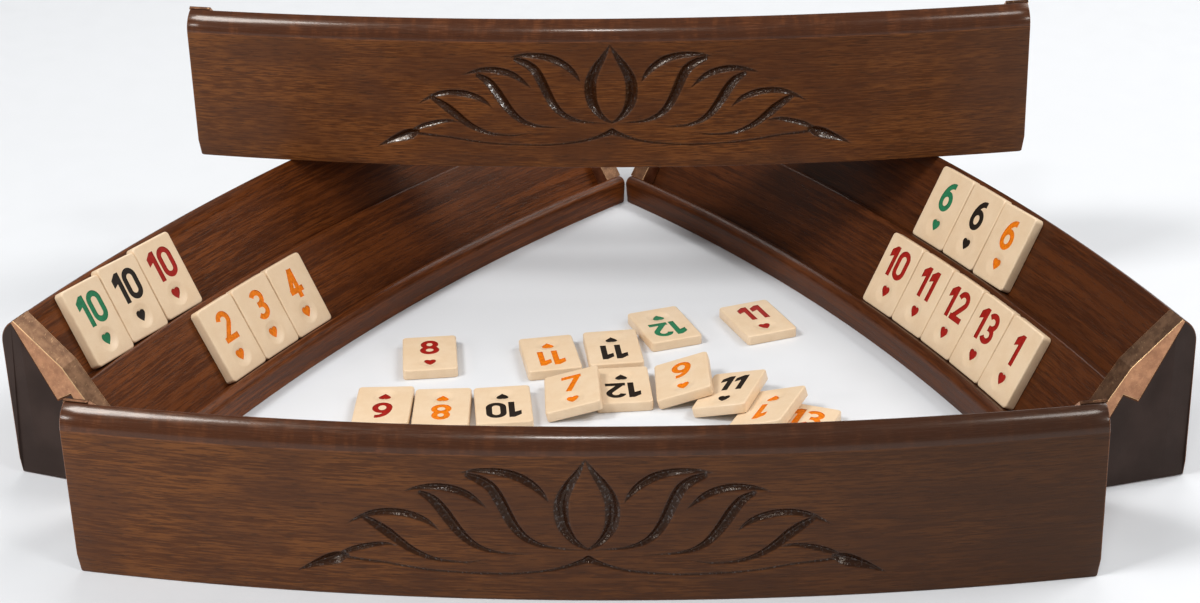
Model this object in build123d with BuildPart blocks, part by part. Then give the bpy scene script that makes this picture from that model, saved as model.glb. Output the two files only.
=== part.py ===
from build123d import *
import os
from dataclasses import dataclass
from math import asin, atan2, cos, degrees, hypot, radians, sin, sqrt, tan

# A rummy set: four curved wooden tile racks with brass end stops, and 28 of the tiles.
# Three racks stand on the table in a triangle, their carved backs outwards. The fourth
# lies across the two side racks. 14 tiles stand on the side racks' steps and 14 lie on
# the table between the racks, some of them leaning on a neighbour.
#
# Millimetres. +Z is up and the front rack's carved back faces -Y. The origin is the
# middle of the footprint, at table height.

# ---- rack: its section, with insets measured inwards from the carved back ----
RACK_RADIUS = 1075.0  # the carved back, about the rack's upright axis
RACK_ARC = 427.0  # along the carved back
BOARD_THICKNESS = 10.0
NOSE_RADIUS = 12.0  # the rounded top of the back board
CREST_INSET = 6.5  # the nose's sharp inner edge
UPPER_SLOPE = 61.0  # degrees from the table
UPPER_SLOPE_LENGTH = 40.0
LOWER_SLOPE = 60.5
LOWER_SLOPE_LENGTH = 40.4
LEDGE_WIDTH = 8.5  # both ledges, square to the slope above them
BASE_HEIGHT = 10.65  # wood under the lower ledge's inner corner
LIP_THICKNESS = 4.4
LIP_RADIUS = 4.0
END_CORNER_RADIUS = 3.0  # the bottom corner of each end

# ---- brass end stop: a cast channel that caps the steps at each end ----
STOP_WIDTH = 11.0  # along the rack
STOP_WALL = 2.0
STOP_PROUD = 0.5  # past the rack's end
STOP_TIP_INSET = 7.6
STOP_TIP_RISE = 1.1  # above the crest
STOP_UPPER_PITCH = 40.9  # degrees from the table
STOP_UPPER_LENGTH = 30.3
STOP_LOWER_PITCH = 54.7
STOP_SEAT_GAP = 0.05
PEG_DIAMETER = 4.0
PEG_LENGTH = 8.0  # in the wood
PEG_CLEARANCE = 0.1  # round the peg and past its end
UPPER_PEG_DROP = 24.0  # down the upper slope from the crest
LOWER_PEG_DROP = 20.0  # down the lower slope from the upper ledge

# ---- tile ----
TILE_WIDTH = 26.8
TILE_HEIGHT = 38.0
TILE_THICKNESS = 5.0
TILE_CORNER_RADIUS = 2.0
TILE_EDGE_RADIUS = 0.8
TILE_SPACING = 0.2  # between neighbours in a run
TILE_SEAT_GAP = 0.25  # to the slope and to the ledge
TILE_TABLE_GAP = 0.15
DIMPLE_DIAMETER = 12.5
DIMPLE_DEPTH = 0.9
DIMPLE_ABOVE_FOOT = 9.5

# ---- how the racks stand ----
CORNER_GAP = 0.3  # between the inner corners of neighbouring racks
STACK_GAP = 0.33  # under the rack on top
TOP_RACK_FORWARD = 14.1  # of the middles of the side racks
TOP_RACK_SIDEWAYS = -2.65
TOP_RACK_TURN = -0.24  # degrees

FULL_CIRCLE = 360.0
RACKS_IN_RING = 3
LEAN_LIMIT = 60.0  # degrees, steeper than any tile leans
LEAN_STEPS = 16


def on_slope(point, slope, length):
    """The point that lies a length further down a slope (inset, height)."""
    return Vector(point.X + length * cos(radians(slope)), point.Y - length * sin(radians(slope)))


def off_slope(point, slope, length):
    """The point that lies a length off a slope, square to it, on the tiles' side."""
    return Vector(point.X + length * sin(radians(slope)), point.Y + length * cos(radians(slope)))


def meet(start, pitch, other_start, other_pitch):
    """Where two lines in the section cross; a pitch is the fall in degrees."""
    fall, other_fall = tan(radians(pitch)), tan(radians(other_pitch))
    inset = (other_start.Y - start.Y + other_fall * other_start.X - fall * start.X) / (other_fall - fall)
    return Vector(inset, start.Y - fall * (inset - start.X))


# ---- the section's corners, from the base up and from the back inwards ----
crest_height = (
    BASE_HEIGHT
    + LOWER_SLOPE_LENGTH * sin(radians(LOWER_SLOPE))
    - LEDGE_WIDTH * cos(radians(UPPER_SLOPE))
    + UPPER_SLOPE_LENGTH * sin(radians(UPPER_SLOPE))
)
crest = Vector(CREST_INSET, crest_height)
board_top = Vector(BOARD_THICKNESS, crest_height - (BOARD_THICKNESS - CREST_INSET) * tan(radians(UPPER_SLOPE)))
upper_corner = on_slope(crest, UPPER_SLOPE, UPPER_SLOPE_LENGTH)
upper_edge = off_slope(upper_corner, UPPER_SLOPE, LEDGE_WIDTH)
lower_corner = on_slope(upper_edge, LOWER_SLOPE, LOWER_SLOPE_LENGTH)
lip_edge = off_slope(lower_corner, LOWER_SLOPE, LEDGE_WIDTH)
rack_depth = lip_edge.X + LIP_THICKNESS
nose_centre = Vector(NOSE_RADIUS, crest_height - sqrt(NOSE_RADIUS**2 - (NOSE_RADIUS - CREST_INSET) ** 2))
half_arc = RACK_ARC / 2
half_turn = degrees(half_arc / RACK_RADIUS)

# ---- the end stop's outline: two facets over the steps, seated just off the wood ----
upper_ledge_pitch = UPPER_SLOPE - 90
lower_ledge_pitch = LOWER_SLOPE - 90
upper_seat = off_slope(crest, UPPER_SLOPE, STOP_SEAT_GAP)
lower_seat = off_slope(upper_edge, LOWER_SLOPE, STOP_SEAT_GAP)
upper_ledge_seat = on_slope(upper_corner, UPPER_SLOPE, -STOP_SEAT_GAP)
lower_ledge_seat = on_slope(lower_corner, LOWER_SLOPE, -STOP_SEAT_GAP)
stop_tip = Vector(STOP_TIP_INSET, crest_height + STOP_TIP_RISE)
stop_bend = on_slope(stop_tip, STOP_UPPER_PITCH, STOP_UPPER_LENGTH)
stop_foot = meet(stop_bend, STOP_LOWER_PITCH, lower_ledge_seat, lower_ledge_pitch)
stop_seat = [
    meet(upper_seat, UPPER_SLOPE, upper_ledge_seat, upper_ledge_pitch),
    meet(upper_ledge_seat, upper_ledge_pitch, lower_seat, LOWER_SLOPE),
    meet(lower_seat, LOWER_SLOPE, lower_ledge_seat, lower_ledge_pitch),
]
under_upper = off_slope(stop_tip, STOP_UPPER_PITCH, -STOP_WALL)
under_lower = off_slope(stop_bend, STOP_LOWER_PITCH, -STOP_WALL)
stop_wall_outline = [stop_tip, stop_bend, stop_foot, *reversed(stop_seat), upper_seat]
stop_plate_outline = [
    stop_tip,
    stop_bend,
    stop_foot,
    meet(under_lower, STOP_LOWER_PITCH, lower_ledge_seat, lower_ledge_pitch),
    meet(under_upper, STOP_UPPER_PITCH, under_lower, STOP_LOWER_PITCH),
    meet(under_upper, STOP_UPPER_PITCH, upper_seat, UPPER_SLOPE),
    upper_seat,
]


@dataclass(frozen=True)
class Rack:
    """Where one rack stands: the foot of its carved back's middle and the way that back faces."""

    name: str
    facing: float
    middle: Vector

    @property
    def axis(self):
        """The upright axis that the whole rack is bent about."""
        centre = self.middle - RACK_RADIUS * self.outwards(0)
        return Axis((centre.X, centre.Y, self.middle.Z), (0, 0, 1))

    def outwards(self, arc):
        """The direction that the carved back faces, an arc length round from its middle."""
        angle = radians(self.facing) + arc / RACK_RADIUS
        return Vector(cos(angle), sin(angle), 0)

    def section_plane(self, arc):
        """The plane of the section there: x is the inset and y the height."""
        inwards = -self.outwards(arc)
        origin = self.axis.position - RACK_RADIUS * inwards
        return Plane(origin=origin, x_dir=inwards, z_dir=inwards.cross(Vector(0, 0, 1)))

    def slope_plane(self, arc, point, slope):
        """A plane on a slope: x along the rack, y up the slope, z off the wood."""
        section = self.section_plane(arc)
        normal = section.x_dir * sin(radians(slope)) + Vector(0, 0, cos(radians(slope)))
        return Plane(origin=section.from_local_coords(point), x_dir=-section.z_dir, z_dir=normal)


def bend(rack, outline, start_arc, end_arc):
    """Adds to the part in hand an outline of the section, bent from one arc length to another."""
    with BuildSketch(rack.section_plane(start_arc)) as profile:
        with BuildLine():
            Polyline(*outline, close=True)
        make_face()
    turn = degrees((end_arc - start_arc) / RACK_RADIUS)
    revolve(profile.sketch, axis=rack.axis, revolution_arc=turn)


def round_end_corners(part):
    """Rounds the two straight bottom edges of a strip of wood."""
    bottom_edges = part.edges().filter_by(GeomType.LINE).group_by(Axis.Z)[0]
    fillet(bottom_edges, radius=END_CORNER_RADIUS)


def finish(part, label):
    """Labels a finished piece and writes it."""
    part.label = label
    export_step(part, f"parts/{label}.step")


# ---- the end stop's pegs: where they enter the wood ----
def peg_planes(rack, side):
    """The planes, on the slopes, that the two pegs of one end stand on."""
    arc = side * (half_arc - STOP_WIDTH / 2)
    upper_point = on_slope(crest, UPPER_SLOPE, UPPER_PEG_DROP)
    lower_point = on_slope(upper_edge, LOWER_SLOPE, LOWER_PEG_DROP)
    upper_reach = reach_to_plate(upper_point, UPPER_SLOPE, stop_tip, STOP_UPPER_PITCH)
    lower_reach = reach_to_plate(lower_point, LOWER_SLOPE, stop_bend, STOP_LOWER_PITCH)
    upper = rack.slope_plane(arc, upper_point, UPPER_SLOPE)
    lower = rack.slope_plane(arc, lower_point, LOWER_SLOPE)
    return [(upper, upper_reach), (lower, lower_reach)]


def reach_to_plate(point, slope, facet_start, facet_pitch):
    """How far a peg stands off its slope, to end inside the cover plate."""
    on_facet = meet(point, slope - 90, facet_start, facet_pitch)
    return hypot(on_facet.X - point.X, on_facet.Y - point.Y) - STOP_WALL / 2


def bore_for_peg(plane):
    """Cuts a peg's blind hole in the strip of wood in hand."""
    with BuildSketch(plane) as mouth:
        Circle(PEG_DIAMETER / 2 + PEG_CLEARANCE)
    extrude(mouth.sketch, amount=-(PEG_LENGTH + PEG_CLEARANCE), mode=Mode.SUBTRACT)


# ---- wood ----
def make_back_board(rack):
    """The curved board with the carved face and the rounded nose."""
    nose_start = degrees(atan2(crest.Y - nose_centre.Y, crest.X - nose_centre.X))
    with BuildPart() as back_board:
        with BuildSketch(rack.section_plane(-half_arc)):
            with BuildLine():
                Line((0, nose_centre.Y), (0, 0))
                Line((0, 0), (BOARD_THICKNESS, 0))
                Line((BOARD_THICKNESS, 0), board_top)
                Line(board_top, crest)
                CenterArc(nose_centre, NOSE_RADIUS, nose_start, 180 - nose_start)
            make_face()
        revolve(axis=rack.axis, revolution_arc=2 * half_turn)
        round_end_corners(back_board)
    finish(back_board.part, f"{rack.name}_back_board")


def make_upper_step(rack):
    """The strip behind the back board, with the upper slope and its ledge."""
    outline = [
        (BOARD_THICKNESS, 0),
        board_top,
        upper_corner,
        upper_edge,
        (upper_edge.X, 0),
    ]
    with BuildPart() as upper_step:
        bend(rack, outline, -half_arc, half_arc)
        round_end_corners(upper_step)
        for side in (-1, 1):
            bore_for_peg(peg_planes(rack, side)[0][0])
    finish(upper_step.part, f"{rack.name}_upper_step")


def make_lower_step(rack):
    """The innermost strip, with the lower slope, its ledge and the rounded lip."""
    with BuildPart() as lower_step:
        with BuildSketch(rack.section_plane(-half_arc)) as profile:
            with BuildLine():
                Polyline(
                    (upper_edge.X, 0),
                    upper_edge,
                    lower_corner,
                    lip_edge,
                    (rack_depth, lip_edge.Y),
                    (rack_depth, 0),
                    close=True,
                )
            make_face()
            lip = profile.vertices().sort_by_distance((rack_depth, lip_edge.Y))[0]
            fillet(lip, radius=min(LIP_RADIUS, LIP_THICKNESS))
        revolve(axis=rack.axis, revolution_arc=2 * half_turn)
        round_end_corners(lower_step)
        for side in (-1, 1):
            bore_for_peg(peg_planes(rack, side)[1][0])
    finish(lower_step.part, f"{rack.name}_lower_step")


# ---- brass ----
def make_end_stop(rack, side, side_name):
    """A channel of two walls under a two-facet plate, with two pegs into the wood."""
    end = side * (half_arc + STOP_PROUD)
    outer_wall = sorted((end, end - side * STOP_WALL))
    plate = sorted((end, side * (half_arc - STOP_WIDTH)))
    inner_wall = sorted((side * (half_arc - STOP_WIDTH), side * (half_arc - STOP_WIDTH + STOP_WALL)))
    with BuildPart() as end_stop:
        bend(rack, stop_wall_outline, *outer_wall)
        bend(rack, stop_wall_outline, *inner_wall)
        bend(rack, stop_plate_outline, *plate)
        for plane, reach in peg_planes(rack, side):
            with BuildSketch(plane.offset(-PEG_LENGTH)) as peg:
                Circle(PEG_DIAMETER / 2)
            extrude(peg.sketch, amount=PEG_LENGTH + reach)
    finish(end_stop.part, f"{rack.name}_end_stop_{side_name}")


# ---- tiles ----
def make_tile(label, plane):
    """A tile with its back on the plane's middle, its foot towards -y of the plane."""
    ball_radius = ((DIMPLE_DIAMETER / 2) ** 2 + DIMPLE_DEPTH**2) / (2 * DIMPLE_DEPTH)
    ball_height = TILE_THICKNESS + ball_radius - DIMPLE_DEPTH
    with BuildPart(plane) as tile:
        with BuildSketch(plane):
            RectangleRounded(TILE_WIDTH, TILE_HEIGHT, TILE_CORNER_RADIUS)
        extrude(amount=TILE_THICKNESS)
        face = tile.faces().sort_by(Axis(plane.origin, plane.z_dir))[-1]
        fillet(face.edges(), radius=TILE_EDGE_RADIUS)
        with Locations((0, DIMPLE_ABOVE_FOOT - TILE_HEIGHT / 2, ball_height)):
            Sphere(ball_radius, mode=Mode.SUBTRACT)
    finish(tile.part, label)


@dataclass(frozen=True)
class Run:
    """A row of tiles on one ledge, listed from left to right as their reader sees them."""

    rack: Rack
    level: str
    left_edge: float  # degrees round the rack from its middle
    numbers: tuple


def make_run(run):
    """Stands a row of tiles side by side on its ledge, leaning on the slope."""
    slope = UPPER_SLOPE if run.level == "upper" else LOWER_SLOPE
    corner = upper_corner if run.level == "upper" else lower_corner
    back = off_slope(corner, slope, TILE_SEAT_GAP)
    centre = on_slope(back, slope, -(TILE_SEAT_GAP + TILE_HEIGHT / 2))
    front_foot = off_slope(corner, slope, TILE_SEAT_GAP + TILE_THICKNESS)
    foot_radius = RACK_RADIUS - front_foot.X
    step = 2 * asin((TILE_WIDTH + TILE_SPACING) / 2 / foot_radius)
    for place, number in enumerate(run.numbers):
        turn = radians(run.left_edge) - (place + 0.5) * step
        plane = run.rack.slope_plane(turn * RACK_RADIUS, centre, slope)
        make_tile(f"tile_{run.rack.name}_{run.level}_{number}", plane)


@dataclass(frozen=True)
class LooseTile:
    """A tile on the table. Its place is counted in tile pitches from the racks' centre."""

    number: str
    across: float
    away: float
    turn: float  # degrees
    upright: bool  # to a reader at the front rack
    rests_on: str = ""  # the tile under its raised side; its place is then its low edge's


LOOSE_TILES = (
    LooseTile("red_8", -3.25, 0.53, 7.8, True),
    LooseTile("red_6", -3.82, -0.94, 2.5, False),
    LooseTile("orange_8", -2.78, -0.99, 3.6, False),
    LooseTile("black_10", -1.71, -0.93, 7.8, False),
    LooseTile("orange_11", -1.04, 0.53, 12.4, False),
    LooseTile("black_11_far", 0.10, 0.71, 9.0, False),
    LooseTile("black_12", 0.34, -0.39, 6.8, False),
    LooseTile("green_12", 1.01, 1.40, 22.1, False),
    LooseTile("red_11", 2.75, 1.60, 23.8, True),
    LooseTile("orange_13", 3.47, -1.43, -20.1, True),
    LooseTile("orange_1", 2.49, -1.06, -20.1, False, "orange_13"),
    LooseTile("black_11_near", 1.81, -0.57, -16.7, True, "orange_1"),
    LooseTile("orange_9", 0.97, -0.34, 3.7, True, "black_11_near"),
    LooseTile("orange_7", -0.97, -0.69, 5.4, True, "black_12"),
)


def block(plane):
    """A plain block of a tile's size, its back on the plane's middle."""
    low_corner = plane.from_local_coords(Vector(-TILE_WIDTH / 2, -TILE_HEIGHT / 2))
    return Solid.make_box(
        TILE_WIDTH, TILE_HEIGHT, TILE_THICKNESS, Plane(low_corner, x_dir=plane.x_dir, z_dir=plane.z_dir)
    )


def leaning_plane(low_edge, turn, tilt):
    """A tile's back plane, tilted up about its low edge."""
    across = Vector(cos(radians(turn)), sin(radians(turn)), 0)
    rising = across * cos(radians(tilt)) + Vector(0, 0, sin(radians(tilt)))
    normal = Vector(0, 0, cos(radians(tilt))) - across * sin(radians(tilt))
    return Plane(origin=low_edge + rising * (TILE_WIDTH / 2), x_dir=rising, z_dir=normal)


def settle(low_edge, turn, neighbour):
    """Lowers a tile about its low edge until it lies just off the neighbour's block."""
    clear = LEAN_LIMIT
    blocked = 0.0
    for _ in range(LEAN_STEPS):
        tilt = (clear + blocked) / 2
        if block(leaning_plane(low_edge, turn, tilt)).distance_to(neighbour) < TILE_SEAT_GAP:
            blocked = tilt
        else:
            clear = tilt
    return leaning_plane(low_edge, turn, clear)


def make_loose_tiles(racks_centre):
    """Lays the loose tiles out, those that lean after the ones they lean on."""
    blocks = {}
    for tile in LOOSE_TILES:
        place = racks_centre + Vector(
            tile.across * (TILE_WIDTH + TILE_SPACING), tile.away * TILE_HEIGHT, TILE_TABLE_GAP
        )
        if tile.rests_on:
            plane = settle(place, tile.turn, blocks[tile.rests_on])
        else:
            low_edge = place - Vector(TILE_WIDTH / 2, 0).rotate(Axis.Z, tile.turn)
            plane = leaning_plane(low_edge, tile.turn, 0)
        blocks[tile.number] = block(plane)
        if not tile.upright:
            plane = Plane(origin=plane.origin, x_dir=-plane.x_dir, z_dir=plane.z_dir)
        make_tile(f"tile_table_{tile.number}", plane)


# ---- where everything stands ----
def stand_racks():
    """The four racks and the centre of the triangle, with the footprint's middle at the origin."""
    inner_radius = RACK_RADIUS - rack_depth
    inner_half_chord = inner_radius * sin(radians(half_turn)) + CORNER_GAP / 2
    inner_foot = RACK_RADIUS - inner_radius * cos(radians(half_turn))
    ring_radius = inner_foot + inner_half_chord / tan(radians(180 / RACKS_IN_RING))
    racks = []
    for count, name in enumerate(("front", "right", "left")):
        facing = -90 + count * FULL_CIRCLE / RACKS_IN_RING
        direction = Vector(cos(radians(facing)), sin(radians(facing)), 0)
        racks.append(Rack(name, facing, ring_radius * direction))
    left_rack = racks[-1]
    back_reach = left_rack.section_plane(-half_arc).origin.Y
    centre = Vector(0, (ring_radius - back_reach) / 2, 0)
    racks = [Rack(rack.name, rack.facing, rack.middle + centre) for rack in racks]
    top_place = Vector(
        TOP_RACK_SIDEWAYS, racks[-1].middle.Y - TOP_RACK_FORWARD, crest_height + STACK_GAP
    )
    racks.append(Rack("top", -90 + TOP_RACK_TURN, top_place))
    return racks, centre


def main():
    """Builds and writes every piece."""
    os.makedirs("parts", exist_ok=True)
    racks, centre = stand_racks()
    for rack in racks:
        make_back_board(rack)
        make_upper_step(rack)
        make_lower_step(rack)
        make_end_stop(rack, -1, "left")
        make_end_stop(rack, 1, "right")
    _, right, left, _ = racks
    near_end = half_turn - degrees(STOP_WIDTH / RACK_RADIUS)
    make_run(Run(right, "upper", -0.5, ("green_6", "black_6", "orange_6")))
    make_run(Run(right, "lower", -0.37, ("red_10", "red_11", "red_12", "red_13", "red_1")))
    make_run(Run(left, "upper", near_end - 0.98, ("green_10", "black_10", "red_10")))
    make_run(Run(left, "lower", 6.38, ("orange_2", "orange_3", "orange_4")))
    make_loose_tiles(centre)


main()
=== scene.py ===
"""Looks of a rummy set: four carved wooden tile racks with brass end stops, and 28 engraved tiles.

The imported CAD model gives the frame. Every wooden strip, end stop and tile is dressed here by a
piece of its own. A strip is spun about its rack's axis and a tile is made in a frame of its own,
and both are then moved to where the CAD part stands. An end stop is softened in place. Sizes are
written in millimetres, and Blender's lengths are metres.
"""

import logging
import math
from dataclasses import dataclass
from enum import Enum
from typing import Callable, Iterable, Sequence

import bmesh
import bpy
import numpy as np
from mathutils import Matrix, Vector
from mathutils.geometry import delaunay_2d_cdt


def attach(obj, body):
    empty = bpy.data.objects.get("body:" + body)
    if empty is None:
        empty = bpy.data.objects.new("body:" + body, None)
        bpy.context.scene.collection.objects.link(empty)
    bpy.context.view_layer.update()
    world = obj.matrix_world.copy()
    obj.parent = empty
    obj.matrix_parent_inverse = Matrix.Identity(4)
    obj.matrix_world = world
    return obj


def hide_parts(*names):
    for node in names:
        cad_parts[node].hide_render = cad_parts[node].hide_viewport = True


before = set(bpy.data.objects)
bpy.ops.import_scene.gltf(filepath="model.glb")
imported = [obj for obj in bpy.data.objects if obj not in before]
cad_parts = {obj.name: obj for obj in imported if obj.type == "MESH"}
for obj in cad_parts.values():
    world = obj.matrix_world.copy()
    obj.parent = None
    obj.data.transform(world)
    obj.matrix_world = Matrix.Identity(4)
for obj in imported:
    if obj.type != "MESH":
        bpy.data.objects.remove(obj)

LOG = logging.getLogger("rummy_set")
MM = 0.001
PLACE = "place"  # the name of the attribute: along the arc, inset and height, in mm
GRAIN = "grain"  # the same with an offset, so that no two boards share their grain
CUT = "cut"  # 0 on the surface, 1 deep in a groove
RUBBED = "rubbed"  # 1 on the softened edges that hands have rubbed
PAINTED_SHADE = "stain"  # the name of the attribute of painted shade: how much darker the wood is made, 0 to 1
GRAIN_SHIFT = (731.0, 157.0, 211.0)  # mm from one rack's grain to the next one's
TOUCHING = 0.01  # mm, as close as counts as on a surface

Point2 = tuple[float, float]
Cut = tuple[float, float, float]  # out from the flower's axis, height and the groove's width, in mm
Colour = tuple[float, float, float, float]


def linear(red: int, green: int, blue: int) -> Colour:
    """A colour written as it looks on a screen, 0 to 255, as linear light."""
    return (*(((part / 255 + 0.055) / 1.055) ** 2.4 for part in (red, green, blue)), 1.0)


def darker(colour: Colour, share: float) -> Colour:
    """The same colour with only a share of its light."""
    return (*(share * part for part in colour[:3]), 1.0)


# ---------------------------------------------------------------------------------------------
# Shader helpers
# ---------------------------------------------------------------------------------------------


@dataclass
class Graph:
    """Adds nodes to a shader tree and joins them up."""

    tree: bpy.types.NodeTree

    def feed(self, socket: bpy.types.NodeSocket, value: object) -> None:
        """Joins a socket to another node's output, or sets its value.

        Args:
            socket: The input.
            value: An output to join it to, or a plain value.
        """
        if isinstance(value, bpy.types.NodeSocket):
            self.tree.links.new(value, socket)
        else:
            socket.default_value = value

    def node(
        self, kind: str, inputs: dict[str | int, object] | None = None, **settings: object
    ) -> bpy.types.Node:
        """Adds one node.

        Args:
            kind: Blender's name of the node type.
            inputs: Values or outputs for the node's inputs, by name or number.
            **settings: The node's own settings.

        Returns:
            The new node.
        """
        made = self.tree.nodes.new(kind)
        for name, value in settings.items():
            setattr(made, name, value)
        for socket, value in (inputs or {}).items():
            self.feed(made.inputs[socket], value)
        return made

    def attribute(self, name: str) -> bpy.types.Node:
        """Reads one of the mesh's own attributes."""
        return self.node("ShaderNodeAttribute", attribute_name=name)

    def stretched(self, vector: object, scale: Sequence[float]) -> bpy.types.NodeSocket:
        """A position multiplied by a scale for each axis."""
        return self.node("ShaderNodeVectorMath", {0: vector, 1: scale}, operation="MULTIPLY").outputs[0]

    def noise(
        self, vector: object, detail: float = 3, roughness: float = 0.5, twist: float = 0, scale: float = 1
    ) -> bpy.types.NodeSocket:
        """Fractal noise, about 0.2 to 0.8."""
        inputs = {"Vector": vector, "Scale": scale, "Detail": detail, "Roughness": roughness}
        return self.node("ShaderNodeTexNoise", {**inputs, "Distortion": twist}).outputs[0]

    def between(
        self, value: object, low: float, high: float, start: float = 0, end: float = 1
    ) -> bpy.types.NodeSocket:
        """Maps low to start and high to end, smoothly and without going past them."""
        inputs = {"Value": value, "From Min": low, "From Max": high, "To Min": start, "To Max": end}
        return self.node("ShaderNodeMapRange", inputs, interpolation_type="SMOOTHSTEP").outputs[0]

    def math(self, operation: str, *values: object) -> bpy.types.NodeSocket:
        """One sum, product or other operation on numbers."""
        return self.node("ShaderNodeMath", dict(enumerate(values)), operation=operation).outputs[0]

    def times(self, first: object, second: object) -> bpy.types.NodeSocket:
        """A product."""
        return self.math("MULTIPLY", first, second)

    def times_plus(self, first: object, second: object, more: object) -> bpy.types.NodeSocket:
        """A product with something added to it."""
        return self.math("MULTIPLY_ADD", first, second, more)

    def mix(self, factor: object, first: object, second: object) -> bpy.types.NodeSocket:
        """A colour between two others."""
        made = self.node("ShaderNodeMix", {0: factor, 6: first, 7: second}, data_type="RGBA")
        return made.outputs[2]

    def bump(self, height: object, distance: float) -> bpy.types.NodeSocket:
        """A normal bent by a height; the distance is in metres."""
        inputs = {"Height": height, "Distance": distance, "Strength": 1.0}
        return self.node("ShaderNodeBump", inputs).outputs[0]

    def object_place(self) -> bpy.types.NodeSocket:
        """The position in the object's own coordinates."""
        return self.node("ShaderNodeTexCoord").outputs["Object"]

    def group(self, tree: bpy.types.NodeTree, position: object) -> bpy.types.Node:
        """Adds a shared group that is given a position.

        Args:
            tree: The group.
            position: What its one input reads.

        Returns:
            The group's node.
        """
        made = self.node("ShaderNodeGroup", node_tree=tree)
        self.feed(made.inputs["Position"], position)
        return made

    def dress(self, shader: bpy.types.Node, inputs: dict[str, object]) -> None:
        """Feeds several of the shader's sockets, by name."""
        for name, value in inputs.items():
            self.feed(shader.inputs[name], value)


def shared_group(
    name: str,
    outputs: Sequence[str],
    fill: Callable[[Graph, bpy.types.NodeSocket], dict[str, bpy.types.NodeSocket]],
) -> bpy.types.NodeTree:
    """Builds a node group once and gives it back to every material that asks for it.

    Args:
        name: The group's name; its one input is a position.
        outputs: Names of the outputs, all of them numbers.
        fill: Given the graph and the position, returns the output sockets by name.

    Returns:
        The node group.
    """
    if name in bpy.data.node_groups:
        return bpy.data.node_groups[name]
    tree = bpy.data.node_groups.new(name, "ShaderNodeTree")
    tree.interface.new_socket("Position", in_out="INPUT", socket_type="NodeSocketVector")
    for socket in outputs:
        tree.interface.new_socket(socket, in_out="OUTPUT", socket_type="NodeSocketFloat")
    graph = Graph(tree)
    made = fill(graph, graph.node("NodeGroupInput").outputs["Position"])
    graph.dress(graph.node("NodeGroupOutput"), made)
    return tree


def fill_timber(graph: Graph, place: bpy.types.NodeSocket) -> dict[str, bpy.types.NodeSocket]:
    """Grain that runs along the rack, from broad figure to pores, with clouds of staining and curl.

    Args:
        graph: The group's nodes.
        place: The position that the pattern reads.

    Returns:
        The outputs by name.
    """
    figure = graph.noise(graph.stretched(place, (0.009, 0.13, 0.13)), detail=4, roughness=0.55, twist=0.6)
    lines = graph.noise(graph.stretched(place, (0.006, 0.4, 0.4)), detail=3, roughness=0.6, twist=0.3)
    fibre = graph.noise(graph.stretched(place, (0.09, 1.5, 1.5)), detail=4, roughness=0.6)
    flecks = graph.noise(graph.stretched(place, (0.16, 1.8, 1.8)), detail=2, roughness=0.5)
    clouds = graph.noise(graph.stretched(place, (0.02, 0.05, 0.05)), detail=4, roughness=0.6)
    curl = graph.noise(graph.stretched(place, (0.16, 0.05, 0.05)), detail=3, roughness=0.6)
    return {
        "Figure": graph.between(figure, 0.34, 0.66),
        "Lines": graph.between(lines, 0.36, 0.64),
        "Fibre": graph.between(fibre, 0.32, 0.68),
        "Pores": graph.between(flecks, 0.58, 0.7),
        "Clouds": graph.between(clouds, 0.36, 0.64),
        "Curl": graph.between(curl, 0.45, 0.7),
    }


def timber_group() -> bpy.types.NodeTree:
    """The wood grain that every wooden finish uses."""
    outputs = ("Figure", "Lines", "Fibre", "Pores", "Clouds", "Curl")
    return shared_group("timber grain", outputs, fill_timber)


def fill_handling(graph: Graph, place: bpy.types.NodeSocket) -> dict[str, bpy.types.NodeSocket]:
    """Smudges and hairlines that handling leaves on a smooth surface.

    Args:
        graph: The group's nodes.
        place: The position that the pattern reads.

    Returns:
        The outputs by name.
    """
    smudge = graph.noise(graph.stretched(place, (1, 1, 1)), detail=4, roughness=0.6, scale=90)
    hair = graph.noise(graph.stretched(place, (1, 0.06, 1)), detail=2, roughness=0.5, scale=1500)
    speck = graph.noise(graph.stretched(place, (1, 1, 1)), detail=1, roughness=0.5, scale=2600)
    return {
        "Smudge": graph.between(smudge, 0.3, 0.7),
        "Hairline": graph.between(hair, 0.62, 0.72),
        "Speck": graph.between(speck, 0.35, 0.65),
    }


def handling_group() -> bpy.types.NodeTree:
    """The marks of handling that the brass and the tiles share."""
    return shared_group("marks of handling", ("Smudge", "Hairline", "Speck"), fill_handling)


class Finish:
    """A named material, made the first time that a piece asks for it."""

    name: str

    def material(self) -> bpy.types.Material:
        """The finish as a Blender material.

        Returns:
            The material, with its nodes.
        """
        if self.name in bpy.data.materials:
            return bpy.data.materials[self.name]
        made = bpy.data.materials.new(self.name)
        made.use_nodes = True
        graph = Graph(made.node_tree)
        self.build(graph, made.node_tree.nodes["Principled BSDF"])
        return made

    def build(self, graph: Graph, shader: bpy.types.Node) -> None:
        """Feeds the shader's sockets."""
        raise NotImplementedError


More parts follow.
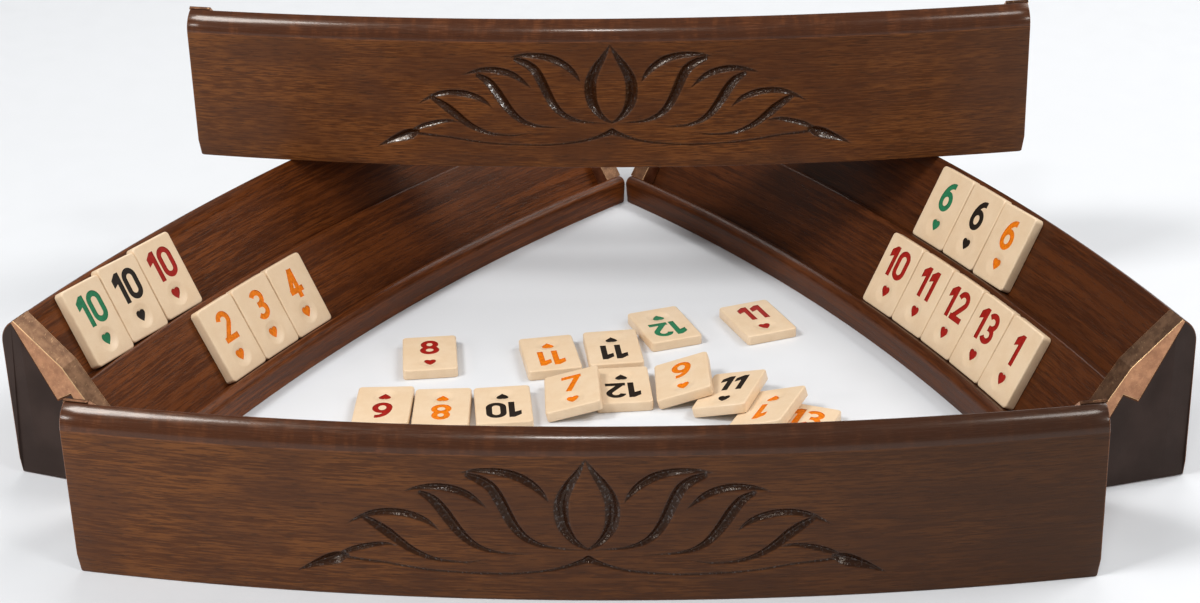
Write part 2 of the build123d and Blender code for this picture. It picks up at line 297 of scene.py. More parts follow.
@dataclass(frozen=True)
class WoodFinish(Finish):
    """Stained and lacquered beech, with its grain along the rack."""

    name: str
    light: Colour
    dark: Colour
    tint: Colour  # of the clouds of staining
    pore: Colour
    shares: tuple[float, float, float]  # of figure, lines and fibre in the streaks
    roughness: float = 0.42
    polish: float = 0.04  # the coat's weight, away from the nose
    nose_polish: float = 0.3  # and how much more of it the nose has
    shine: float = 0.27  # how much smoother the grooves are
    chatter: float = 0.8  # marks of the gouge to each mm
    cloudy: float = 0.5  # the strength of the clouds
    worn: Colour = linear(140, 84, 46)
    # staining gathered in the grooves, darkened further as painted shade of the recess
    groove: Colour = linear(36, 18, 9)
    nose: Colour = linear(74, 38, 18)
    nose_light: Colour = linear(112, 62, 30)
    nose_from: float = 1e6  # mm above the foot, where the polished nose begins

    def build(self, graph: Graph, shader: bpy.types.Node) -> None:
        """Mixes grain, nose, grooves and rubbed edges.

        Args:
            graph: The material's nodes.
            shader: The shader whose sockets are fed.
        """
        grain = graph.group(timber_group(), graph.attribute(GRAIN).outputs["Vector"])
        place = graph.attribute(PLACE).outputs["Vector"]
        height = graph.node("ShaderNodeSeparateXYZ", {0: place}).outputs[2]
        cut = graph.between(graph.attribute(CUT).outputs["Fac"], 0.02, 0.45)
        on_nose = graph.between(height, self.nose_from - 0.3, self.nose_from + 0.5)

        streaks = 0.0
        for part, share in zip(("Figure", "Lines", "Fibre"), self.shares):
            streaks = graph.times_plus(grain.outputs[part], share, streaks)
        streaks = graph.between(streaks, 0.22, 0.78)
        colour = graph.mix(streaks, self.dark, self.light)
        colour = graph.mix(graph.times(grain.outputs["Clouds"], self.cloudy), colour, self.tint)
        curl = graph.times(grain.outputs["Curl"], graph.times_plus(streaks, 0.5, 0.15))
        colour = graph.mix(on_nose, colour, graph.mix(curl, self.nose, self.nose_light))
        from_line = graph.math("ABSOLUTE", graph.math("SUBTRACT", height, self.nose_from))
        line = graph.times(graph.between(from_line, 0, 0.7, 0.5, 0), streaks)
        colour = graph.mix(line, colour, self.worn)
        colour = graph.mix(graph.times(grain.outputs["Pores"], 0.5), colour, self.pore)
        # Painted shade: each rack's colour is made darker towards its ends, by its own two amounts.
        colour = graph.mix(graph.attribute(PAINTED_SHADE).outputs["Fac"], colour, self.pore)
        # The grooves are darker: partly the staining that gathers in them, partly painted shade of the
        # recess.
        colour = graph.mix(graph.times(cut, 0.85), colour, self.groove)
        rubbed = graph.times_plus(grain.outputs["Fibre"], 0.3, 0.15)
        rubbed = graph.times(rubbed, graph.attribute(RUBBED).outputs["Fac"])

        rough = graph.between(grain.outputs["Fibre"], 0, 1, self.roughness - 0.05, self.roughness + 0.07)
        polished = graph.math("MAXIMUM", cut, graph.times(on_nose, 0.7))
        chatter = graph.noise(place, detail=3, roughness=0.6, scale=self.chatter)
        chips = graph.times(cut, graph.between(chatter, 0.53, 0.62))
        coat = graph.math("MAXIMUM", chips, graph.times(on_nose, self.nose_polish))

        relief = graph.times_plus(grain.outputs["Fibre"], 0.4, 1.0)
        relief = graph.math("SUBTRACT", relief, grain.outputs["Pores"])
        smoothed = graph.times_plus(graph.math("MAXIMUM", on_nose, cut), -0.85, 1.0)
        relief = graph.times(relief, smoothed)
        relief = graph.times_plus(graph.times(chatter, cut), 3.0, relief)
        looks = {
            "Base Color": graph.mix(rubbed, colour, self.worn),
            "Roughness": graph.times_plus(polished, -self.shine, rough),
            "Coat Weight": graph.math("ADD", coat, self.polish),
            "Coat Roughness": 0.13,
            "Specular IOR Level": 0.24,
            "Specular Tint": (1.0, 0.85, 0.7, 1.0),
            "Normal": graph.bump(relief, 0.05 * MM),
        }
        graph.dress(shader, looks)


@dataclass(frozen=True)
class StainFinish(Finish):
    """The dark flat staining on the racks' ends."""

    name: str = "dark stained end"
    base: Colour = linear(58, 43, 37)
    shade: Colour = linear(46, 32, 26)

    def build(self, graph: Graph, shader: bpy.types.Node) -> None:
        """Faint clouds and the fine pits of end grain.

        Args:
            graph: The material's nodes.
            shader: The shader whose sockets are fed.
        """
        place = graph.attribute(GRAIN).outputs["Vector"]
        clouds = graph.noise(graph.stretched(place, (0.1, 0.06, 0.05)), detail=3)
        pits = graph.noise(graph.stretched(place, (2.0, 2.2, 2.2)), detail=2)
        colour = graph.mix(graph.between(clouds, 0.3, 0.7), self.shade, self.base)
        looks = {
            "Base Color": graph.mix(graph.between(pits, 0.6, 0.75, 0, 0.35), colour, self.shade),
            "Roughness": graph.between(pits, 0.3, 0.7, 0.5, 0.6),
            "Specular IOR Level": 0.2,
            "Normal": graph.bump(pits, 0.05 * MM),
        }
        graph.dress(shader, looks)


@dataclass(frozen=True)
class BrassFinish(Finish):
    """Cast brass, brown with age and brighter where it is rubbed."""

    name: str = "aged brass"
    aged: Colour = linear(198, 146, 110)
    dark: Colour = linear(164, 118, 90)
    bright: Colour = linear(240, 200, 150)

    def build(self, graph: Graph, shader: bpy.types.Node) -> None:
        """Patches of patina, hairlines and bright edges.

        Args:
            graph: The material's nodes.
            shader: The shader whose sockets are fed.
        """
        place = graph.object_place()
        marks = graph.group(handling_group(), place)
        patches = graph.noise(place, detail=4, roughness=0.6, scale=260)
        colour = graph.mix(graph.between(patches, 0.25, 0.75), self.dark, self.aged)
        rubbed = graph.times(graph.attribute(RUBBED).outputs["Fac"], 0.8)
        bright = graph.math("MAXIMUM", rubbed, graph.times(marks.outputs["Hairline"], 0.25))
        relief = graph.times_plus(marks.outputs["Speck"], 0.3, patches)
        looks = {
            "Base Color": graph.mix(bright, colour, self.bright),
            "Roughness": graph.between(marks.outputs["Smudge"], 0, 1, 0.34, 0.5),
            "Metallic": 1.0,
            "Normal": graph.bump(relief, 0.03 * MM),
        }
        graph.dress(shader, looks)


@dataclass(frozen=True)
class TileFinish(Finish):
    """Smooth ivory-coloured plastic."""

    name: str = "ivory plastic"
    base: Colour = linear(234, 208, 175)
    shade: Colour = linear(224, 194, 157)

    def build(self, graph: Graph, shader: bpy.types.Node) -> None:
        """Faint clouding and handling marks.

        Args:
            graph: The material's nodes.
            shader: The shader whose sockets are fed.
        """
        marks = graph.group(handling_group(), graph.object_place())
        shade = graph.times(marks.outputs["Smudge"], 0.6)
        shade = graph.times_plus(marks.outputs["Speck"], 0.25, shade)
        looks = {
            "Base Color": graph.mix(shade, self.base, self.shade),
            "Roughness": graph.between(marks.outputs["Smudge"], 0, 1, 0.34, 0.46),
            "Normal": graph.bump(marks.outputs["Speck"], 0.01 * MM),
        }
        graph.dress(shader, looks)


class Ink(Enum):
    """The four colours of the numbers, by the word in a tile's name."""

    RED = linear(166, 26, 14)
    BLACK = linear(34, 25, 16)
    ORANGE = linear(240, 126, 0)
    GREEN = linear(40, 126, 84)


@dataclass(frozen=True)
class PaintFinish(Finish):
    """Paint wiped into the engraving."""

    ink: Ink

    @property
    def name(self) -> str:
        """The material's name."""
        return f"{self.ink.name.lower()} paint"

    def build(self, graph: Graph, shader: bpy.types.Node) -> None:
        """Slightly uneven paint, thinner in places.

        Args:
            graph: The material's nodes.
            shader: The shader whose sockets are fed.
        """
        thin = graph.noise(graph.object_place(), detail=3, roughness=0.6, scale=700)
        thick = graph.between(thin, 0.3, 0.7)
        looks = {
            "Base Color": graph.mix(thick, darker(self.ink.value, 0.72), self.ink.value),
            "Roughness": graph.between(thin, 0.3, 0.7, 0.4, 0.55),
            "Specular IOR Level": 0.25,
            "Normal": graph.bump(thin, 0.04 * MM),
        }
        graph.dress(shader, looks)


FACE_WOOD = WoodFinish(
    "face wood",
    light=linear(120, 71, 33),
    dark=linear(83, 44, 18),
    tint=linear(77, 43, 25),
    pore=linear(46, 25, 14),
    shares=(0.15, 0.15, 0.7),
    cloudy=0.65,
    nose_from=66.2,
)
SLOPE_WOOD = WoodFinish(
    "slope wood",
    light=linear(118, 61, 22),
    dark=linear(73, 34, 11),
    tint=linear(88, 43, 16),
    pore=linear(36, 16, 8),
    shares=(0.2, 0.4, 0.4),
    roughness=0.38,
)
END_STAIN = StainFinish()
BRASS = BrassFinish()
# Darker copies of the brass as painted shade: one for the end stops' upward faces, one for their tips.
UPPER_FACE_SHADE_BRASS = BrassFinish("brass with painted shade above", aged=linear(144, 110, 84), dark=linear(106, 78, 60))
TIP_SHADE_BRASS = BrassFinish("brass with painted shade at the tip", aged=linear(84, 58, 42), dark=linear(58, 38, 27))
IVORY = TileFinish()


# ---------------------------------------------------------------------------------------------
# Pieces
# ---------------------------------------------------------------------------------------------


def add_piece(name: str, mesh: bpy.types.Mesh, body: str, replaced: str) -> bpy.types.Object:
    """Puts a finished mesh in the scene in place of its CAD part.

    Args:
        name: The piece's name.
        mesh: Its mesh, already in the row frame.
        body: The CAD body that it rides on.
        replaced: The CAD node that it stands for.

    Returns:
        The new object.
    """
    made = bpy.data.objects.new(name, mesh)
    bpy.context.scene.collection.objects.link(made)
    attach(made, body)
    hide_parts(replaced)
    LOG.info("%s: %d faces on %s", name, len(mesh.polygons), body)
    return made


def rounded(corners: Sequence[tuple[float, float, float]], segments: int = 4) -> list[Point2]:
    """An outline with its corners rounded.

    Args:
        corners: For each corner x, y and the radius, in mm; 0 keeps it sharp.
        segments: The number of straight pieces in each rounding.

    Returns:
        The outline's points.
    """
    outline: list[Point2] = []
    for place, (x, y, radius) in enumerate(corners):
        corner = Vector((x, y))
        if not radius:
            outline.append((x, y))
            continue
        before = (Vector(corners[place - 1][:2]) - corner).normalized()
        after = (Vector(corners[(place + 1) % len(corners)][:2]) - corner).normalized()
        half = before.angle(after) / 2
        centre = corner + (before + after).normalized() * (radius / math.sin(half))
        first = corner + before * (radius / math.tan(half)) - centre
        last = corner + after * (radius / math.tan(half)) - centre
        for count in range(segments + 1):
            outline.append(tuple(centre + radius * first.slerp(last, count / segments)))
    return outline


# ---- the rack's section -----------------------------------------------------------------------


@dataclass(frozen=True)
class RackSize:
    """Sizes of a rack in mm; insets are measured inwards from the carved back."""

    radius: float = 1075.0  # the carved back, about the rack's upright axis
    arc: float = 427.0  # along the carved back
    board: float = 10.0  # the back board's thickness
    nose_radius: float = 12.0
    crest_inset: float = 6.5  # of the nose's sharp inner edge
    upper_slope: float = 61.0  # degrees from the table
    upper_length: float = 40.0
    lower_slope: float = 60.5
    lower_length: float = 40.4
    ledge: float = 8.5
    base: float = 10.65  # the height of the lower ledge's inner corner
    lip: float = 4.4  # from the lower ledge's edge to the lip's front
    lip_radius: float = 4.0
    end_corner: float = 3.0  # the rounding of the bottom corners at both ends
    softened: float = 0.6  # the radius that the edges are sanded to

    @property
    def crest_height(self) -> float:
        """The height of the nose's inner edge.

        Returns:
            The height in mm.
        """
        fall = self.lower_length * math.sin(math.radians(self.lower_slope))
        rise = self.upper_length * math.sin(math.radians(self.upper_slope))
        return self.base + fall - self.ledge * math.cos(math.radians(self.upper_slope)) + rise

    @property
    def nose_centre(self) -> Vector:
        """The middle of the nose's circle, in the section."""
        drop = math.sqrt(self.nose_radius**2 - (self.nose_radius - self.crest_inset) ** 2)
        return Vector((self.nose_radius, self.crest_height - drop))

    @property
    def board_top(self) -> Vector:
        """Where the upper slope leaves the back board."""
        fall = (self.board - self.crest_inset) * math.tan(math.radians(self.upper_slope))
        return Vector((self.board, self.crest_height - fall))

    def step(self, start: Vector, slope: float, length: float) -> tuple[Vector, Vector]:
        """The inner corner and the outer edge of the ledge at the foot of a slope.

        Args:
            start: Where the slope begins, in the section.
            slope: Its angle from the table, in degrees.
            length: Its length in mm.

        Returns:
            The ledge's inner corner and its outer edge.
        """
        tilt = math.radians(slope)
        corner = start + length * Vector((math.cos(tilt), -math.sin(tilt)))
        return corner, corner + self.ledge * Vector((math.sin(tilt), math.cos(tilt)))

    @property
    def upper_step(self) -> tuple[Vector, Vector]:
        """The upper ledge's corner and edge."""
        crest = Vector((self.crest_inset, self.crest_height))
        return self.step(crest, self.upper_slope, self.upper_length)

    @property
    def lower_step(self) -> tuple[Vector, Vector]:
        """The lower ledge's corner and edge."""
        return self.step(self.upper_step[1], self.lower_slope, self.lower_length)

    def above_steps(self, point: Vector) -> bool:
        """True for a point at home on the back board's own part of the upper slope."""
        inset, height = self.radius - point.xy.length / MM, point.z / MM
        return inset > self.crest_inset and height > self.board_top.y

    @property
    def half_turn(self) -> float:
        """Half the angle that the rack spans."""
        return self.arc / 2 / self.radius


RACK = RackSize()


# ---- the carving ------------------------------------------------------------------------------


# The grooves on one side of the flower's axis, which the other side mirrors.
FLOWER_CUTS: dict[str, tuple[Cut, ...]] = {
    "bud": (
        (0, 64.8, 1), (3.2, 59, 3.4), (7, 53, 5.2), (9.7, 46.8, 6.4), (10.3, 40.7, 6.9),
        (9.4, 34.6, 6.2), (6.6, 29.3, 4.4), (3.2, 25.8, 2.8), (0, 24, 1.6),
    ),
    "first petal tip": (
        (51.5, 58, 0.5), (45, 59.3, 2.4), (38.5, 59.4, 3.6), (32, 58.6, 4.4), (26, 56.4, 4.8),
        (20.8, 52.8, 4.2), (17.3, 49, 2.8), (14.8, 44.8, 0.5),
    ),
    "first petal": (
        (47, 57.2, 3.4), (42.5, 55.4, 5), (38, 52, 5.6), (35.2, 47.2, 5.8), (32.6, 41.2, 5.6),
        (29.8, 35.1, 5.2), (26.1, 30, 4.3), (21.2, 26.6, 3.1), (14.5, 24.6, 1.9), (3, 23.6, 0.9),
    ),
    "second petal tip": (
        (74.3, 49, 0.5), (68.3, 50.9, 2.4), (61.7, 51.8, 3.7), (55.6, 51.4, 4.3), (49.7, 49.6, 4.2),
        (45.1, 46.8, 3.2), (39.2, 41.6, 0.5),
    ),
    "second petal": (
        (66.5, 48.8, 3), (62, 46, 5), (58.2, 41.3, 5.8), (54.9, 36, 5.7), (51.4, 30.9, 5),
        (47.3, 26.5, 4), (42, 23.5, 2.8), (34.9, 21.9, 1.7), (22.5, 21.3, 0.8),
    ),
    "third petal tip": (
        (98.5, 32.9, 0.5), (92.7, 36.3, 2.2), (87, 38.7, 3.4), (80.7, 39.7, 3.8), (73.9, 39.2, 4.2),
        (67.9, 37.4, 3.8), (63.3, 34.8, 2.6), (59.4, 31, 0.5),
    ),
    "third petal": (
        (90.2, 36.4, 3), (85.6, 33.4, 4.7), (81.2, 30.1, 5.3), (76.8, 26.3, 4.8), (72.2, 22.7, 4),
        (67, 19.9, 3.1), (60.9, 17.9, 2.2), (54.1, 17.2, 1.5), (48, 17.3, 1.4), (40.5, 18.7, 0.7),
    ),
    "leaf": (
        (120.8, 9.5, 0.5), (115.5, 12.2, 2.7), (110.5, 14.4, 4.8), (105.5, 16.2, 6.6), (101.5, 17.6, 5.6),
        (98.5, 18.6, 2),
    ),
    "leaf blade": (
        (101, 19.4, 2), (96.5, 21.3, 3.2), (91.5, 22.9, 3.4), (86.6, 24.1, 2.9), (82, 24.6, 2.1),
        (77, 23.8, 0.8),
    ),
    "ground line": (
        (0, 19.3, 4.4), (3.3, 17.9, 3.2), (8.8, 15.9, 2.2), (15.6, 14.1, 1.8), (25.8, 12.7, 1.6),
        (39.4, 12, 1.5), (63.3, 12.9, 1.5), (83, 15.7, 1.6), (92.7, 16.6, 1.8), (99, 17.4, 2),
    ),
}


def smooth_curve(points: Sequence[Cut], spacing: float = 0.3) -> np.ndarray:
    """A smooth curve through the points of one groove.

    Args:
        points: The groove's points, in order.
        spacing: The distance between the curve's own points, in mm.

    Returns:
        A row of out, height and width for each point of the curve.
    """
    ends = np.array((points[0], *points, points[-1]), dtype=float)
    rows = []
    for before, start, end, after in zip(ends, ends[1:], ends[2:], ends[3:]):
        count = max(2, round(float(np.linalg.norm(end[:2] - start[:2])) / spacing))
        part = np.linspace(0, 1, count, endpoint=False)[:, None]
        rows.append(
            start
            + 0.5 * part * (end - before)
            + part**2 * (before - 2.5 * start + 2 * end - 0.5 * after)
            + part**3 * (-0.5 * before + 1.5 * start - 1.5 * end + 0.5 * after)
        )
    rows.append(ends[-1:])
    return np.concatenate(rows)


@dataclass(frozen=True)
class Carving:
    """The flower on the back: a bud, three petals and a leaf on each side of its axis; mm."""

    axis: float = 4.2  # along the arc from the rack's middle
    steepness: float = 0.8  # of a groove's walls
    half_width: float = 123.0
    lowest: float = 8.0
    highest: float = 66.0
    row: float = 0.5  # the size of the mesh's squares, up and along
    narrowest: float = 0.5  # a groove's least width
    roundness: float = 0.06  # of a groove's bottom
    cuts: tuple[tuple[Cut, ...], ...] = tuple(FLOWER_CUTS.values())

    def depth(self, arc: np.ndarray, height: np.ndarray) -> np.ndarray:
        """How deep the wood is cut at each point of the carved back, in mm.

        Args:
            arc: How far along the arc each point lies, in mm.
            height: How high it lies.

        Returns:
            The depths.
        """
        out = np.abs(arc - self.axis)
        deepest = np.zeros(len(out))
        for points in self.cuts:
            line = smooth_curve(points)
            margin = line[:, 2].max() / 2
            low, high = line[:, :2].min(0) - margin, line[:, :2].max(0) + margin
            near = np.flatnonzero((out > low[0]) & (out < high[0]) & (height > low[1]) & (height < high[1]))
            reach = np.hypot(out[near, None] - line[None, :, 0], height[near, None] - line[None, :, 1])
            closest = reach.argmin(1)
            half = np.maximum(line[closest, 2], self.narrowest) / 2
            inside = np.clip(1 - reach[np.arange(len(near)), closest] / half, 0, 1)
            cut = self.steepness * half * inside**2 / (inside + self.roundness)
            deepest[near] = np.maximum(deepest[near], cut)
        return deepest


FLOWER = Carving()


# ---- wooden strips ----------------------------------------------------------------------------


@dataclass(frozen=True)
class Strip:
    """A strip of wood with one section all along the rack, bent about the rack's axis.

    It is made at home, where the rack's axis is the z axis and the middle of the carved back
    lies at x = radius.
    """

    name: str
    section: tuple[Point2, ...]  # inset and height of each corner
    joints: tuple[float, ...]  # insets of its faces that touch another strip
    finish: WoodFinish
    stretches: tuple[tuple[float, int], ...]  # where each stretch ends along the arc, and its steps
    carving: Carving | None = None
    sharp: float = 33.0  # degrees; edges that turn less look round

    def mesh(self) -> bpy.types.Mesh:
        """Spins the section round the axis, closes and softens the ends, and carves the back.

        Returns:
            The strip at home.
        """
        half_arc = RACK.arc / 2
        work = bmesh.new()
        ring = [work.verts.new(at_home(-half_arc, *point)) for point in self.section]
        loop = [work.edges.new((start, end)) for start, end in zip(ring, ring[1:] + ring[:1])]
        first_loop, last = loop, ring + loop
        start = -half_arc
        for end, steps in self.stretches:
            turn = (end - start) / RACK.radius
            spun = bmesh.ops.spin(work, geom=last, cent=(0, 0, 0), axis=(0, 0, 1), angle=turn, steps=steps)
            last, start = spun["geom_last"], end
        last_loop = [item for item in last if isinstance(item, bmesh.types.BMEdge)]
        for edges in (first_loop, last_loop):
            for face in bmesh.ops.contextual_create(work, geom=edges)["faces"]:
                face.material_index = 1
        bmesh.ops.recalc_face_normals(work, faces=work.faces)
        self.soften_ends(work)
        made = bpy.data.meshes.new(self.name)
        work.to_mesh(made)
        work.free()
        self.shape(made)
        return made

    def soften_ends(self, work: bmesh.types.BMesh) -> None:
        """Rounds the rims of both ends, except along the joints.

        Args:
            work: The strip at home, before it is carved.
        """
        rubbed = work.faces.layers.float.new(RUBBED)
        ends = [face for face in work.faces if face.material_index == 1]
        rims = [edge for face in ends for edge in face.edges if not self.on_joint(edge)]
        softened = bmesh.ops.bevel(
            work,
            geom=rims,
            offset=RACK.softened * MM,
            offset_type="OFFSET",
            affect="EDGES",
            segments=3,
            profile=0.5,
            material=-1,
        )
        for face in work.faces:
            face.smooth = face.material_index != 1
        for face in softened["faces"]:
            face.material_index = 0
            face.smooth = True
            face[rubbed] = 1.0

    def on_joint(self, edge: bmesh.types.BMEdge) -> bool:
        """True for an edge that lies in one of the faces glued to a neighbour."""
        insets = [RACK.radius - vert.co.xy.length / MM for vert in edge.verts]
        return any(all(abs(inset - joint) < TOUCHING for inset in insets) for joint in self.joints)

    def shape(self, made: bpy.types.Mesh) -> None:
        """Rounds the bottom corners, cuts the carving and stores the attributes.

        Args:
            made: The strip's mesh at home.
        """
        places = np.empty(len(made.vertices) * 3)
        made.vertices.foreach_get("co", places)
        x, y, height = places.reshape(-1, 3).T / MM
        arc = np.arctan2(y, x) * RACK.radius
        inset = RACK.radius - np.hypot(x, y)
        below = np.clip(RACK.end_corner - height, 0, RACK.end_corner)
        pull = RACK.end_corner - np.sqrt(RACK.end_corner**2 - below**2)
        fade = 3 * RACK.end_corner
        taper = np.clip((np.abs(arc) - RACK.arc / 2 + fade) / fade, 0, 1)
        arc = arc - np.sign(arc) * pull * taper
        depth = np.zeros(len(arc))
        if self.carving:
            on_back = (inset < TOUCHING) & (height > self.carving.lowest) & (height < self.carving.highest)
            depth[on_back] = self.carving.depth(arc[on_back], height[on_back])
        angle = arc / RACK.radius
        reach = RACK.radius - inset - depth
        moved = np.stack([reach * np.cos(angle), reach * np.sin(angle), height], axis=1) * MM
        made.vertices.foreach_set("co", moved.ravel())
        place = np.stack([arc, inset, height], axis=1)
        made.attributes.new(PLACE, "FLOAT_VECTOR", "POINT").data.foreach_set("vector", place.ravel())
        made.attributes.new(CUT, "FLOAT", "POINT").data.foreach_set("value", np.clip(depth, 0, 1))
        made.update()
        for polygon in made.polygons:
            if polygon.material_index == 0 and RACK.above_steps(polygon.center):
                polygon.material_index = 2
        if not self.carving:
            made.set_sharp_from_angle(angle=math.radians(self.sharp))


def at_home(arc: float, inset: float, height: float) -> Vector:
    """A point of the rack, in mm, as a place about the z axis, in metres."""
    reach = (RACK.radius - inset) * MM
    return Vector((reach * math.cos(arc / RACK.radius), reach * math.sin(arc / RACK.radius), height * MM))


def back_board_section(nose_steps: int = 14) -> tuple[Point2, ...]:
    """The back board: close rows where the carving is, the rounded nose and its sharp inner edge.

    Args:
        nose_steps: The number of straight pieces round the nose.

    Returns:
        The section's corners, as inset and height.
    """
    bottom = rounded([(RACK.board, 0, 0), (0, 0, RACK.softened), (0, FLOWER.lowest, 0)])
    rows = round((FLOWER.highest - FLOWER.lowest) / FLOWER.row)
    face = [(0.0, FLOWER.lowest + count * FLOWER.row) for count in range(1, rows + 1)]
    centre = RACK.nose_centre
    crest = Vector((RACK.crest_inset, RACK.crest_height)) - centre
    nose_angle = math.atan2(crest.y, crest.x)
    nose = []
    for count in range(nose_steps):
        angle = math.pi + (nose_angle - math.pi) * count / nose_steps
        nose.append(tuple(centre + RACK.nose_radius * Vector((math.cos(angle), math.sin(angle)))))
    top = rounded([(*nose[-1], 0), (*(centre + crest), RACK.softened), (*RACK.board_top, 0)])
    return tuple(bottom + face + nose[:-1] + top)


def make_strips(plain_steps: int = 60, end_steps: int = 12) -> list[Strip]:
    """The three strips of wood that every rack is glued up from.

    Args:
        plain_steps: The number of pieces along a plain strip.
        end_steps: The number of pieces on each side of the carving.

    Returns:
        The back board, the upper step and the lower step.
    """
    half_arc = RACK.arc / 2
    plain = ((half_arc, plain_steps),)
    carved_from, carved_to = FLOWER.axis - FLOWER.half_width, FLOWER.axis + FLOWER.half_width
    carved_steps = round((carved_to - carved_from) / FLOWER.row)
    carved = ((carved_from, end_steps), (carved_to, carved_steps), (half_arc, end_steps))
    upper_corner, upper_edge = RACK.upper_step
    lower_corner, lip_edge = RACK.lower_step
    ledge = (upper_edge - upper_corner).normalized()
    joint = upper_edge - ledge * (2 * RACK.softened)
    depth = lip_edge.x + RACK.lip
    upper = rounded(
        [(RACK.board, 0, 0), (*RACK.board_top, 0), (*upper_corner, 0), (*joint, 0), (joint.x, 0, 0)]
    )
    lower = rounded(
        [
            (joint.x, 0, 0),
            (*joint, 0),
            (*upper_edge, 1.3 * RACK.softened),
            (*lower_corner, 0),
            (*lip_edge, RACK.softened / 2),
            (depth, lip_edge.y, RACK.lip_radius),
            (depth, 0, RACK.softened),
        ],
        segments=6,
    )
    return [
        Strip("back_board", back_board_section(), (RACK.board,), FACE_WOOD, carved, FLOWER),
        Strip("upper_step", tuple(upper), (RACK.board, joint.x), SLOPE_WOOD, plain),
        Strip("lower_step", tuple(lower), (joint.x,), SLOPE_WOOD, plain),
    ]


# ---- racks ------------------------------------------------------------------------------------


@dataclass(frozen=True)
class EndStop:
    """A cast brass channel, which takes the shape of its CAD part with its edges softened."""

    merged: float = 0.002  # mm; corners closer than this are one
    flat: float = 2.0  # degrees; facets that turn less than this are one face
    sharp: float = 25.0  # degrees; edges that turn more than this are softened
    softened: float = 0.35  # mm, the softened edges' offset
    tip: float = 1.5  # mm, the height of its tip, which is painted darker as shade
    level: float = 0.3  # the least upward part of the normal of a face that is painted darker as shade

    def build(self, node: str, body: str) -> None:
        """Adds one end stop in place of its CAD part.

        Args:
            node: The CAD part's name.
            body: The body that it rides on.
        """
        work = bmesh.new()
        work.from_mesh(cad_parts[node].data)
        bmesh.ops.remove_doubles(work, verts=work.verts, dist=self.merged * MM)
        bmesh.ops.dissolve_limit(
            work,
            angle_limit=math.radians(self.flat),
            verts=work.verts,
            edges=work.edges,
            use_dissolve_boundaries=False,
        )
        self.soften(work)
        mesh = bpy.data.meshes.new(node)
        work.to_mesh(mesh)
        work.free()
        for finish in (BRASS, UPPER_FACE_SHADE_BRASS, TIP_SHADE_BRASS):
            mesh.materials.append(finish.material())
        add_piece(f"{node}.looks", mesh, body, node)

    def soften(self, work: bmesh.types.BMesh) -> None:
        """Bevels the sharp edges, and gives each face its finish and its share of rubbing; the faces that
        face upwards and the tip get darker brass as painted shade.

        Args:
            work: The end stop, where it stands.
        """
        rubbed = work.faces.layers.float.new(RUBBED)
        folds = [edge for edge in work.edges if len(edge.link_faces) == 2]
        softened = bmesh.ops.bevel(
            work,
            geom=[edge for edge in folds if edge.calc_face_angle() > math.radians(self.sharp)],
            offset=self.softened * MM,
            offset_type="OFFSET",
            affect="EDGES",
            segments=2,
            profile=0.5,
            material=-1,
            clamp_overlap=True,
        )
        tip = max(vert.co.z for vert in work.verts) - self.tip * MM
        for face in work.faces:
            face.smooth = False
            # Painted shade: the tip and the faces that face upwards take the darker brass.
            on_tip = face.calc_center_median().z > tip
            face.material_index = 2 if on_tip else int(face.normal.z > self.level)
        for face in softened["faces"]:
            face.smooth = True
            face[rubbed] = 0.0 if face.calc_center_median().z > tip else 1.0


@dataclass(frozen=True)
class Rack:
    """One rack: three strips of wood and two brass end stops."""

    name: str
    facing: float  # degrees, the way that its carved back faces
    middle: Vector  # mm, the foot of the carved back's middle
    number: int
    stain: Point2  # painted shade: how much darker its two ends are made, 0 to 1, the counter-clockwise end last
    end_stop: EndStop = EndStop()

    @property
    def from_home(self) -> Matrix:
        """Moves a piece from home to where this rack stands.

        Returns:
            The matrix, in metres.
        """
        turn = Matrix.Rotation(math.radians(self.facing), 4, "Z")
        outwards = turn @ Vector((RACK.radius, 0, 0))
        return Matrix.Translation((self.middle - outwards) * MM) @ turn

    def build(self, strips: Iterable[tuple[Strip, bpy.types.Mesh]]) -> None:
        """Adds the rack's pieces.

        Args:
            strips: The wooden strips, each with its mesh at home.
        """
        for strip, home in strips:
            mesh = home.copy()
            mesh.transform(self.from_home)
            self.add_grain(mesh)
            for finish in (strip.finish, END_STAIN, SLOPE_WOOD):
                mesh.materials.append(finish.material())
            node = f"{self.name}_{strip.name}"
            add_piece(f"{node}.looks", mesh, f"{self.name}_rack", node)
        for side in ("left", "right"):
            self.end_stop.build(f"{self.name}_end_stop_{side}", f"{self.name}_rack")

    def add_grain(self, mesh: bpy.types.Mesh) -> None:
        """Stores the places for the grain, shifted so that each rack has its own, and the painted shade that
        darkens it towards its ends.

        Args:
            mesh: A wooden strip's mesh, with its places along the rack.
        """
        places = np.empty(len(mesh.vertices) * 3)
        mesh.attributes[PLACE].data.foreach_get("vector", places)
        places = places.reshape(-1, 3)
        shifted = places + np.array(GRAIN_SHIFT) * (1 + self.number)
        mesh.attributes.new(GRAIN, "FLOAT_VECTOR", "POINT").data.foreach_set("vector", shifted.ravel())
        stain = np.interp(places[:, 0], (-RACK.arc / 2, RACK.arc / 2), self.stain)
        mesh.attributes.new(PAINTED_SHADE, "FLOAT", "POINT").data.foreach_set("value", stain)


